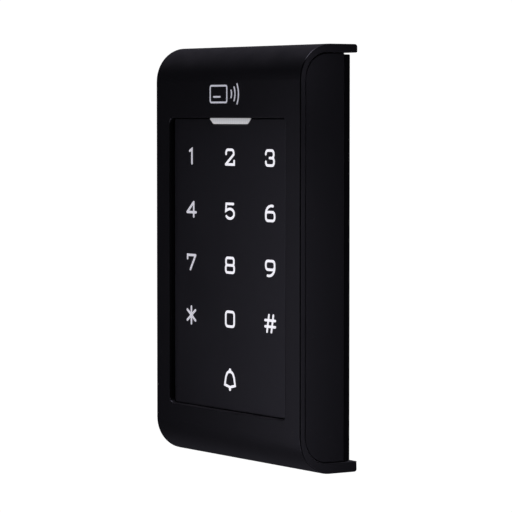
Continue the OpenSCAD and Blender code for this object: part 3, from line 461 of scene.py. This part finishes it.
BLACK_COVER = (0.0022, 0.0021, 0.0029, 1)
BLACK_BODY = (0.0022, 0.0022, 0.0031, 1)
# The back plate's black is darker than the body's: partly its own duller plastic, partly painted shade along
# the rear seam.
BLACK_PLATE_AND_SEAM_SHADE = (0.0012, 0.0012, 0.0016, 1)
MATERIALS = {
    "cover_plastic": satin_black(
        "cover_plastic", BLACK_COVER, 0.46, 0.14, 0.003, specular=0.44, burnish=0.37),
    "body_plastic": satin_black("body_plastic", BLACK_BODY, 0.5, 0.2, 0.005, specular=0.4),
    "panel_acrylic": panel_acrylic(),
    "legend_ink": legend_ink(),
    "symbol_ink": symbol_ink(),
    "light_diffuser": light_diffuser(),
    "seal_rubber": seal_rubber(),
    "circuit_board": circuit_board(),
    "copper_foil": plain_metal("copper_foil", (0.78, 0.42, 0.24, 1), (0.6, 0.3, 0.16, 1), 0.35, 140.0),
    "enamelled_wire": enamelled_winding(),
    "gilt_contact": plain_metal("gilt_contact", (0.9, 0.67, 0.3, 1), (0.8, 0.56, 0.22, 1), 0.22, 900.0),
    "insert_brass": plain_metal("insert_brass", (0.75, 0.55, 0.25, 1), (0.62, 0.44, 0.19, 1), 0.3, 500.0),
    "screw_steel": plain_metal("screw_steel", (0.55, 0.56, 0.58, 1), (0.42, 0.44, 0.47, 1), 0.32, 420.0),
    "bracket_steel": galvanised_sheet(),
    "spring_steel": plain_metal("spring_steel", (0.5, 0.5, 0.52, 1), (0.36, 0.36, 0.38, 1), 0.28, 600.0),
    "tinned_lead": plain_metal("tinned_lead", (0.7, 0.7, 0.71, 1), (0.55, 0.55, 0.57, 1), 0.3, 700.0),
    "chip_epoxy": moulded_part("chip_epoxy", (0.014, 0.014, 0.015, 1), (0.1, 0.1, 0.1, 1), 0.6,
                               grain_mm=0.12, grain_depth=0.006, wear=0.25, wear_mm=0.15),
    "lamp_resin": lamp_resin(),
    "relay_case": moulded_part(
        "relay_case", (0.72, 0.7, 0.62, 1), (0.85, 0.84, 0.8, 1), 0.35, grain_depth=0.002),
    "connector_nylon": moulded_part(
        "connector_nylon", (0.74, 0.71, 0.6, 1), (0.88, 0.87, 0.8, 1), 0.45, grain_depth=0.003),
    "can_aluminium": plain_metal("can_aluminium", (0.74, 0.75, 0.76, 1), (0.62, 0.63, 0.65, 1), 0.3, 300.0),
    "ferrite_black": moulded_part(
        "ferrite_black", (0.03, 0.03, 0.033, 1), (0.12, 0.12, 0.12, 1), 0.55, grain_depth=0.01),
    "acetal_white": moulded_part(
        "acetal_white", (0.76, 0.74, 0.68, 1), (0.9, 0.9, 0.88, 1), 0.35, grain_depth=0.002),
}


# A piece whose finish differs from that of its material slot: the back plate is moulded duller than the walls,
# and its darker colour also paints the shade along its seam with the body
OWN_FINISH = {"back_plate": satin_black("back_plate_plastic_and_seam_shade", BLACK_PLATE_AND_SEAM_SHADE, 0.62, 0.22, 0.006, specular=0.12)}


# ---------------------------------------------------------------- the CAD pieces: soft edges and finishes

EDGE_ANGLE = math.radians(28)
FLAT_ANGLE = math.radians(0.6)

# Rounding of the moulded, cut or bent edges of each CAD piece that stays visible, in millimetres
EDGE_MM = {
    "front_cover": 0.4, "body_shell": 0.3, "touch_panel": 0.22, "status_light_bar": 0.15,
    "back_plate": 0.1, "wall_bracket": 0.14, "wire_header": 0.12, "inlet_seal": 0.15,
    "back_gasket": 0.15, "main_board": 0.1, "touch_board": 0.08, "door_relay": 0.35,
    "clock_crystal": 0.25, "power_inductor": 0.3, "processor_chip": 0.12, "radio_chip": 0.12,
    "touch_chip": 0.08, "voltage_regulator": 0.15, "tamper_switch": 0.25, "tamper_plunger": 0.2,
    "board_link_header": 0.12, "board_link_pins": 0.08, "wire_header_pins": 0.12, "key_lights": 0.12,
    "lock_insert": 0.08, "processor_leads": 0.04,
}
EDGE_STEPS = 3
WELD_MM = 0.03



def soften_edges(piece, width_mm):
    """Joins the faces of a CAD piece, makes each flat one face, and rounds its sharp edges."""
    weld = piece.modifiers.new("weld", "WELD")
    weld.merge_threshold = WELD_MM * MM
    flat = piece.modifiers.new("flat faces", "DECIMATE")
    flat.decimate_type = "DISSOLVE"
    flat.angle_limit = FLAT_ANGLE
    bevel = piece.modifiers.new("rounded edges", "BEVEL")
    bevel.width = width_mm * MM
    bevel.segments = EDGE_STEPS
    bevel.limit_method = "ANGLE"
    bevel.angle_limit = EDGE_ANGLE
    bevel.harden_normals = True
    bevel.use_clamp_overlap = False
    normals = piece.modifiers.new("even shading", "WEIGHTED_NORMAL")
    normals.keep_sharp = True


def dress_cad_pieces():
    slots = {part["node"]: part["material_slot"] for part in frame["record"]["subparts"]}
    for name, piece in NODES.items():
        piece.data.materials.clear()
        piece.data.materials.append(OWN_FINISH.get(name) or MATERIALS[slots[name]])
        if name in EDGE_MM:
            soften_edges(piece, EDGE_MM[name])


# ---------------------------------------------------------------- pieces built as meshes

AXIS_BACK = Matrix(((1, 0, 0), (0, 0, 1), (0, -1, 0)))       # a turned shape whose axis points to the wall
AXIS_DOWN = Matrix(((1, 0, 0), (0, -1, 0), (0, 0, -1)))      # a turned shape whose axis points down


def solids_of(name):
    """The boxes of the separate solids of a CAD node, as pairs of corners."""
    piece = NODES[name]
    made = bmesh.new()
    made.from_mesh(piece.data)
    bmesh.ops.transform(made, matrix=piece.matrix_world, verts=made.verts)
    bmesh.ops.remove_doubles(made, verts=made.verts, dist=0.002 * MM)
    left, boxes = set(made.verts), []
    while left:
        seed = left.pop()
        reached, island = [seed], [seed.co.copy()]
        while reached:
            for edge in reached.pop().link_edges:
                for corner in edge.verts:
                    if corner in left:
                        left.discard(corner)
                        reached.append(corner)
                        island.append(corner.co.copy())
        boxes.append((Vector([min(p[i] for p in island) for i in range(3)]),
                      Vector([max(p[i] for p in island) for i in range(3)])))
    made.free()
    return sorted(boxes, key=lambda box: tuple(round(c, 5) for c in box[0]))


def add_piece(name, made, body, materials, replaced, smooth_angle=40):
    """A new piece from a bmesh, which rides on a body and stands for a CAD node."""
    bmesh.ops.recalc_face_normals(made, faces=made.faces)
    for face in made.faces:
        face.smooth = True
    for edge in made.edges:
        if len(edge.link_faces) == 2 and edge.calc_face_angle(0) > math.radians(smooth_angle):
            edge.smooth = False
    mesh = bpy.data.meshes.new(name)
    made.to_mesh(mesh)
    made.free()
    piece = bpy.data.objects.new(name, mesh)
    for material in materials:
        mesh.materials.append(material)
    bpy.context.scene.collection.objects.link(piece)
    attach(piece, body)
    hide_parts(replaced)


def join_rings(made, rings, material=0, loop=False):
    """Skins rings of points, each as long as the next, and closes both ends or joins them in a loop."""
    rows = [[made.verts.new(point) for point in ring] for ring in rings]
    count = len(rows[0])
    pairs = list(zip(rows, rows[1:])) + ([(rows[-1], rows[0])] if loop else [])
    for low, high in pairs:
        for i in range(count):
            j = (i + 1) % count
            made.faces.new((low[i], low[j], high[j], high[i])).material_index = material
    if not loop:
        made.faces.new(reversed(rows[0])).material_index = material
        made.faces.new(rows[-1]).material_index = material


def turned_rings(profile, axis, origin, segments=40, shape=None):
    """Rings of a turned shape from (height, radius) in mm; shape(angle, height, radius) may change both."""
    rings = []
    for height, radius in profile:
        ring = []
        for i in range(segments):
            angle = 2 * math.pi * i / segments
            h, r = shape(angle, height, radius) if shape else (height, radius)
            ring.append(origin + axis @ Vector((r * math.cos(angle), r * math.sin(angle), h)) * MM)
        rings.append(ring)
    return rings


def foot(low, high):
    """The middle of the side of a box that faces the front, where the pieces on the boards stand."""
    return Vector(((low.x + high.x) / 2, low.y, (low.z + high.z) / 2))


def half_width_mm(low, high):
    return (high.x - low.x) / 2 / MM


def cross_drive(head_r, depth):
    """How deep the cross recess is at a place on the head, in mm."""
    def drop(angle, radius):
        u, v = sorted((abs(radius * math.cos(angle)), abs(radius * math.sin(angle))))
        inside = u < 0.17 * head_r and v < 0.6 * head_r
        return depth * (1 - 0.55 * v / (0.6 * head_r)) if inside else 0.0
    return drop


def hex_drive(radius_across, depth):
    """How deep the hexagon socket is at a place on the head, in mm."""
    def drop(angle, radius):
        turn = (angle + math.pi / 6) % (math.pi / 3) - math.pi / 6
        return depth if radius * math.cos(turn) < radius_across * math.cos(math.pi / 6) else 0.0
    return drop


def screw_rings(length, shank_r, head_r, head_h, pitch, drive, axis, origin, sunk):
    """A threaded screw with its tip at the origin: a pan head, or a sunk one, with its drive."""
    root = 0.8 * shank_r
    seat = length - head_h
    rows_a_turn = 8
    thread = [(seat * i / round(rows_a_turn * seat / pitch), shank_r)
              for i in range(round(rows_a_turn * seat / pitch) + 1)]
    if sunk:
        head = [(seat + 0.02, shank_r), (length - 0.12, head_r - 0.02), (length - 0.04, head_r),
                (length, head_r - 0.06)]
        crown = 0.0
    else:
        head = [(seat, head_r - 0.08), (seat + 0.08, head_r), (seat + 0.5 * head_h, head_r)]
        crown = 0.5 * head_h
    top = [(length, head_r * (1 - i / 16)) for i in range(1, 16)] + [(length, 0.01)]

    def shape(angle, height, radius):
        if height < seat - 0.02:
            along = (height / pitch - angle / (2 * math.pi)) % 1.0
            ridge = max(0.0, 1 - 2.6 * abs(along - 0.5))
            taper = min(1.0, 0.22 + height / (1.7 * shank_r))
            return height, taper * (root + (radius - root) * ridge)
        if height >= length and radius < head_r - 0.07:
            dome = crown * (1 - math.sqrt(max(0.0, 1 - (radius / head_r) ** 2)))
            return height - dome - drive(angle, radius), radius
        return height, radius

    return turned_rings(thread + head + top, axis, origin, 40, shape)


def build_screws():
    """Every screw with its thread, head and drive, in place of the plain CAD shanks."""
    sorts = {
        # piece: shank radius, head height and thread pitch in mm, and whether the head is sunk
        "cover_screws": (1.25, 1.5, 1.1, False), "board_screws": (1.0, 1.2, 0.9, False),
        "back_plate_screws": (1.25, 1.7, 1.1, True),
    }
    for name, (shank_r, head_h, pitch, sunk) in sorts.items():
        made = bmesh.new()
        for low, high in solids_of(name):
            head_r = half_width_mm(low, high)
            drive = cross_drive(head_r, 0.62 * head_h)
            join_rings(made, screw_rings((high.y - low.y) / MM, shank_r, head_r, head_h, pitch,
                                         drive, AXIS_BACK, foot(low, high), sunk))
        add_piece(name + "_threaded", made, "reader", [MATERIALS["screw_steel"]], name)
    low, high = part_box("locking_screw")
    made = bmesh.new()
    origin = Vector(((low.x + high.x) / 2, (low.y + high.y) / 2, high.z))
    head_r = half_width_mm(low, high)
    shank_r, pitch, drive = 1.5, 0.5, hex_drive(1.15, 0.9)
    join_rings(made, screw_rings((high.z - low.z) / MM, shank_r, head_r, head_r - shank_r, pitch,
                                 drive, AXIS_DOWN, origin, True))
    add_piece("locking_screw_threaded", made, "lock_screw",
              [MATERIALS["screw_steel"]], "locking_screw")


def build_antenna_winding():
    """The antenna coil as turns of round wire laid side by side and over one another."""
    low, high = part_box("antenna_coil")
    band, wire, corner = 3.0 * MM, 0.43 * MM, 6.0 * MM
    depth = high.y - low.y
    across, deep = round(band / wire), round(depth / wire)

    def lumps(count, length):
        """Points along one side of the bundle: how far along, and how far the wires bulge out."""
        size = length / count
        return [(size * (k + 0.5 - 0.5 * math.cos(math.pi * s / 4)), 0.5 * size * math.sin(math.pi * s / 4))
                for k in range(count) for s in range(4)]

    inset = 0.5 * wire
    wide, high_side = (band - 2 * inset) / band, (depth - 2 * inset) / depth
    profile = [(inset + a * wide, inset - b) for a, b in lumps(across, band)]
    profile += [(band - inset + b, inset + a * high_side) for a, b in lumps(deep, depth)]
    profile += [(band - inset - a * wide, depth - inset + b) for a, b in lumps(across, band)]
    profile += [(inset - b, depth - inset - a * high_side) for a, b in lumps(deep, depth)]
    rings = []
    left, right, bottom, top = low.x + corner, high.x - corner, low.z + corner, high.z - corner
    corners = ((right, top, 0), (left, top, 90), (left, bottom, 180), (right, bottom, 270))
    for centre_x, centre_z, start in corners:
        for step in range(9):
            angle = math.radians(start + 90 * step / 8)
            out = Vector((math.cos(angle), 0, math.sin(angle)))
            edge = Vector((centre_x, 0, centre_z)) + out * corner
            rings.append([edge - out * inward + Vector((0, low.y + back, 0)) for inward, back in profile])
    made = bmesh.new()
    join_rings(made, rings, loop=True)
    add_piece("antenna_winding", made, "reader",
              [MATERIALS["enamelled_wire"]], "antenna_coil", 80)


def build_sounder_can():
    """The sounder: a round case with a stepped rim, a ring groove and the sound hole."""
    low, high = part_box("sounder")
    r, h = half_width_mm(low, high), (high.y - low.y) / MM
    wall = [(0, r - 0.5), (0.5, r - 0.5), (0.55, r - 0.1), (0.7, r), (h - 0.9, r), (h - 0.55, r - 0.12)]
    groove = [(h - 0.35, r - 0.45), (h - 0.3, r - 0.9), (h - 0.3, r - 1.3), (h - 0.05, r - 1.55), (h, r - 1.8)]
    sound_hole = [(h, 1.9), (h - 0.12, 1.75), (h - 0.12, 1.3), (h - 0.18, 1.08), (h - 0.3, 1.0), (h - 1.4, 1.0),
                  (h - 1.5, 0.9)]
    profile = wall + groove + sound_hole
    made = bmesh.new()
    join_rings(made, turned_rings(profile, AXIS_BACK, foot(low, high), 56))
    add_piece("sounder_case", made, "reader", [MATERIALS["chip_epoxy"]], "sounder", 35)


def add_block(made, low, high, chamfer, material=0):
    """A block with chamfered edges on all sides."""
    start = len(made.faces)
    result = bmesh.ops.create_cube(made, size=1.0)
    size, middle = high - low, (low + high) / 2
    for corner in result["verts"]:
        corner.co = Vector([middle[i] + corner.co[i] * size[i] for i in range(3)])
    edges = list({edge for corner in result["verts"] for edge in corner.link_edges})
    bmesh.ops.bevel(made, geom=edges, offset=chamfer * MM, segments=2, affect="EDGES", profile=0.6)
    made.faces.ensure_lookup_table()
    for face in made.faces[start:]:
        face.material_index = material


def build_capacitors():
    """Can capacitors: a moulded base with cut corners, a crimped can and a scored top."""
    made = bmesh.new()
    for low, high in solids_of("smoothing_capacitors"):
        h = (high.y - low.y) / MM
        add_block(made, low, Vector((high.x, low.y + 0.6 * MM, high.z)), 0.12, 1)
        r = half_width_mm(low, high) - 0.15
        profile = [(0.6, r - 0.35), (0.75, r - 0.12), (0.95, r), (1.35, r), (1.5, r - 0.28), (1.7, r - 0.28),
                   (1.85, r), (h - 0.45, r), (h - 0.2, r - 0.1), (h - 0.06, r - 0.3), (h, r - 0.5)]
        profile += [(h, (r - 0.5) * (1 - i / 10)) for i in range(1, 10)] + [(h, 0.01)]

        def scored(angle, height, radius):
            near = min(abs(radius * math.cos(angle)), abs(radius * math.sin(angle)))
            on_score = height >= h and radius < 0.75 * r and near < 0.2
            return height - (0.08 if on_score else 0.0), radius

        join_rings(made, turned_rings(profile, AXIS_BACK, foot(low, high), 48, scored))
    add_piece("capacitor_cans", made, "reader",
              [MATERIALS["can_aluminium"], MATERIALS["chip_epoxy"]], "smoothing_capacitors", 35)


def build_lamps(node, name, facing):
    """White cases with a sunk round window of yellow resin. facing is 1 towards the wall, -1 to the front."""
    made = bmesh.new()
    for low, high in solids_of(node):
        add_block(made, low, high, 0.08)
        thick = (high.y - low.y)
        face_y = high.y if facing > 0 else low.y
        centre = Vector(((low.x + high.x) / 2, face_y, (low.z + high.z) / 2))
        r = 0.36 * min(high.x - low.x, high.z - low.z) / MM
        rings = []
        for lift, radius in ((-0.25 * thick / MM, r), (-0.015, r), (-0.004, 0.8 * r), (-0.002, 0.4 * r)):
            angles = [2 * math.pi * i / 24 for i in range(24)]
            rings.append([centre + Vector((radius * math.cos(a) * MM * 1.15, facing * lift * MM,
                                           radius * math.sin(a) * MM)) for a in angles])
        join_rings(made, rings, material=1)
    add_piece(name, made, "reader",
              [MATERIALS["acetal_white"], MATERIALS["lamp_resin"]], node, 35)


def build_details():
    build_screws()
    build_antenna_winding()
    build_sounder_can()
    build_capacitors()
    build_lamps("status_lights", "status_lamps", -1)


# ---------------------------------------------------------------- studio

def aim(thing, target):
    direction = target - thing.location
    thing.rotation_euler = direction.to_track_quat("-Z", "Y").to_euler()


CAMERA_AZIMUTH, CAMERA_ELEVATION = math.radians(56.48), math.radians(2.85)
CAMERA_DISTANCE = 0.82196
CAMERA_SENSOR_MM, CAMERA_LENS_MM = 36.0, 199.69
AIM_RIGHT_MM, AIM_DOWN_MM = 0.67, 0.58       # where the camera points, away from the object's middle


def from_angles(azimuth, elevation):
    """A direction from the object: azimuth counts from the front towards the right of the object."""
    level = math.cos(elevation)
    return Vector((math.sin(azimuth) * level, -math.cos(azimuth) * level, math.sin(elevation)))


def build_camera(centre):
    data = bpy.data.cameras.new("camera")
    data.sensor_width = CAMERA_SENSOR_MM
    data.lens = CAMERA_LENS_MM
    camera = bpy.data.objects.new("camera", data)
    bpy.context.scene.collection.objects.link(camera)
    camera.location = centre + from_angles(CAMERA_AZIMUTH, CAMERA_ELEVATION) * CAMERA_DISTANCE
    side = Vector((math.cos(CAMERA_AZIMUTH), math.sin(CAMERA_AZIMUTH), 0))
    aim(camera, centre + side * AIM_RIGHT_MM * MM - Vector((0, 0, AIM_DOWN_MM * MM)))
    bpy.context.scene.camera = camera


def soft_light(name, azimuth, elevation, distance, width, height, watts, target, tint):
    """A softbox that looks at its target from an azimuth and an elevation in degrees."""
    data = bpy.data.lights.new(name, "AREA")
    data.shape = "RECTANGLE"
    data.size, data.size_y = width, height
    data.energy = watts
    data.color = tint
    lamp = bpy.data.objects.new(name, data)
    lamp.visible_camera = False
    lamp.location = target + distance * from_angles(math.radians(azimuth), math.radians(elevation))
    bpy.context.scene.collection.objects.link(lamp)
    aim(lamp, target)


BACKDROP_SEEN, BACKDROP_CAST = 1.05, 0.015       # strength for the camera, and for the light on the object


def build_world():
    """White where the camera looks past the object, and a dim even grey for the light that falls on it."""
    world = bpy.data.worlds.new("studio")
    bpy.context.scene.world = world
    world.use_nodes = True
    tree = world.node_tree
    tree.nodes.clear()
    seen = add_node(tree, "Background", Color=(1, 1, 1, 1), Strength=BACKDROP_SEEN)
    cast = add_node(tree, "Background", Color=(0.93, 0.94, 1, 1), Strength=BACKDROP_CAST)
    ray = add_node(tree, "LightPath").outputs["Is Camera Ray"]
    mixed = add_node(tree, "MixShader", i0=ray, i1=cast.outputs[0], i2=seen.outputs[0])
    out = add_node(tree, "OutputWorld")
    tree.links.new(mixed.outputs[0], out.inputs["Surface"])


FLOOR_RADIUS, FLOOR_Z = 1.6, -0.9
FLOOR_SEEN_PALE = 0.75                           # the share of its own pale light in what the camera sees


def build_floor():
    """A round, pale studio table far below the object, which hangs at wall height."""
    material, tree, shader = new_material("floor_paper", Roughness=0.85)
    place = add_node(tree, "TexCoord").outputs["Object"]
    fibres = add_node(tree, "TexNoise", Vector=place, Scale=900.0, Detail=4.0).outputs["Fac"]
    share = remap(tree, fibres, 0.3, 0.7, 0.0, 1.0)
    colour = mix_colour(tree, share, (0.83, 0.83, 0.83, 1), (0.87, 0.87, 0.87, 1))
    tree.links.new(colour, shader.inputs["Base Color"])
    pale = add_node(tree, "Emission", Color=(0.93, 0.93, 0.93, 1), Strength=1.0)
    seen = add_node(tree, "LightPath").outputs["Is Camera Ray"]
    share = maths(tree, "MULTIPLY", seen, FLOOR_SEEN_PALE)
    mixed = add_node(tree, "MixShader", i0=share, i1=shader.outputs[0], i2=pale.outputs[0])
    tree.links.new(mixed.outputs[0], tree.nodes["Material Output"].inputs["Surface"])
    mesh = bpy.data.meshes.new("floor")
    made = bmesh.new()
    bmesh.ops.create_circle(made, cap_ends=True, radius=FLOOR_RADIUS, segments=96)
    made.to_mesh(mesh)
    made.free()
    floor = bpy.data.objects.new("floor", mesh)
    floor.location = (0, 0, FLOOR_Z)
    mesh.materials.append(material)
    bpy.context.scene.collection.objects.link(floor)


COOL = (0.97, 0.92, 1.18)
MIDDLE = (cad_box[0] + cad_box[1]) / 2
LOWER_FRONT = Vector((0.034, -0.019, -0.03))     # low on the cover's right front edge
RIGHT_FRONT = Vector((0.038, -0.026, -0.026))    # just in front of the right side
UPPER_RIGHT = Vector((0.038, -0.022, 0.05))      # in front of the top of the right side
LAMPS = (
    # name, azimuth, elevation, distance, width, height, watts, target
    ("overhead softbox", 20, 74, 1.1, 1.0, 0.7, 4.8, MIDDLE),
    ("low front strip", -36, -8, 0.165, 0.05, 0.19, 0.044, LOWER_FRONT),
    ("right strip", 112, -3, 0.05, 0.02, 0.12, 0.0071, RIGHT_FRONT),
    ("upper right strip", 112, 10, 0.035, 0.02, 0.02, 0.0008, UPPER_RIGHT),
    ("right fill", 118, -8, 1.0, 0.5, 0.5, 0.12, MIDDLE),
    ("wall side softbox", 190, 14, 1.2, 0.9, 0.9, 3.5, MIDDLE),
    ("back sheet", -115, 18, 1.2, 1.5, 1.0, 0.5, MIDDLE),
)


def build_studio():
    build_world()
    build_floor()
    build_camera(Vector((0, MIDDLE.y, 0)))
    for name, azimuth, elevation, distance, width, height, watts, target in LAMPS:
        soft_light(name, azimuth, elevation, distance, width, height, watts, target, COOL)
    bpy.context.scene.view_settings.view_transform = "Standard"


dress_cad_pieces()
build_details()
build_studio()
